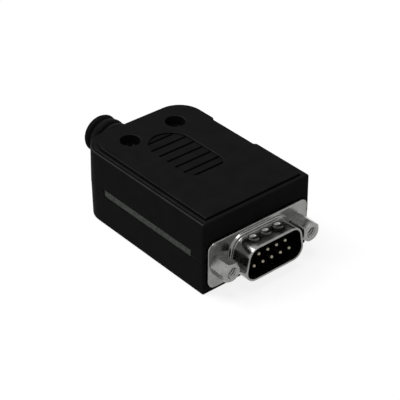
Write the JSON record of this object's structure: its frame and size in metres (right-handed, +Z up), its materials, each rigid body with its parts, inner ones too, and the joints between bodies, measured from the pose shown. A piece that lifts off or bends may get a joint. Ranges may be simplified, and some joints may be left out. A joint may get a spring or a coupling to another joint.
{
  "type": "d-sub connector",
  "caption": "D-shaped pin plug in a black screwed hood with a ribbed cable boot, hexagonal jack standoffs, a thumb grip and a side slot that shows the inner board's edge.",
  "frame": {"origin": "centre of the connector flange's front face, on the connector's axis", "axes": "-Y is the mating direction, +Y runs back to the cable boot, +X is to the right seen from the mating side, +Z is up, with the narrow side of the D on top"},
  "size_m": [0.0332, 0.0678, 0.0197],
  "materials": {
    "hood_plastic": "fine satin moulding",
    "boot_rubber": "matt",
    "board_laminate": "sawn glass-fibre edge",
    "shell_steel": "bright tin plate",
    "insulator_plastic": "moulded",
    "contact_gold": "thin gold flash",
    "jack_nickel": "nickel plate, turned",
    "screw_black": "blackened",
    "wire_insulation": "smooth"
  },
  "bodies": {
    "root": {"upper_shell": "hood_plastic", "lower_shell": "hood_plastic", "cable_boot": "boot_rubber", "circuit_board": "board_laminate", "front_shell": "shell_steel", "rear_shell": "shell_steel", "front_insulator": "insulator_plastic", "rear_insulator": "insulator_plastic", "pin_1": "contact_gold", "pin_2": "contact_gold", "pin_3": "contact_gold", "pin_4": "contact_gold", "pin_5": "contact_gold", "pin_6": "contact_gold", "pin_7": "contact_gold", "pin_8": "contact_gold", "pin_9": "contact_gold", "standoff_left": "jack_nickel", "standoff_right": "jack_nickel", "jack_nut_left": "jack_nickel", "jack_nut_right": "jack_nickel", "housing_screw_left": "screw_black", "housing_screw_right": "screw_black", "hookup_wires": "wire_insulation"}
  },
  "joints": []
}
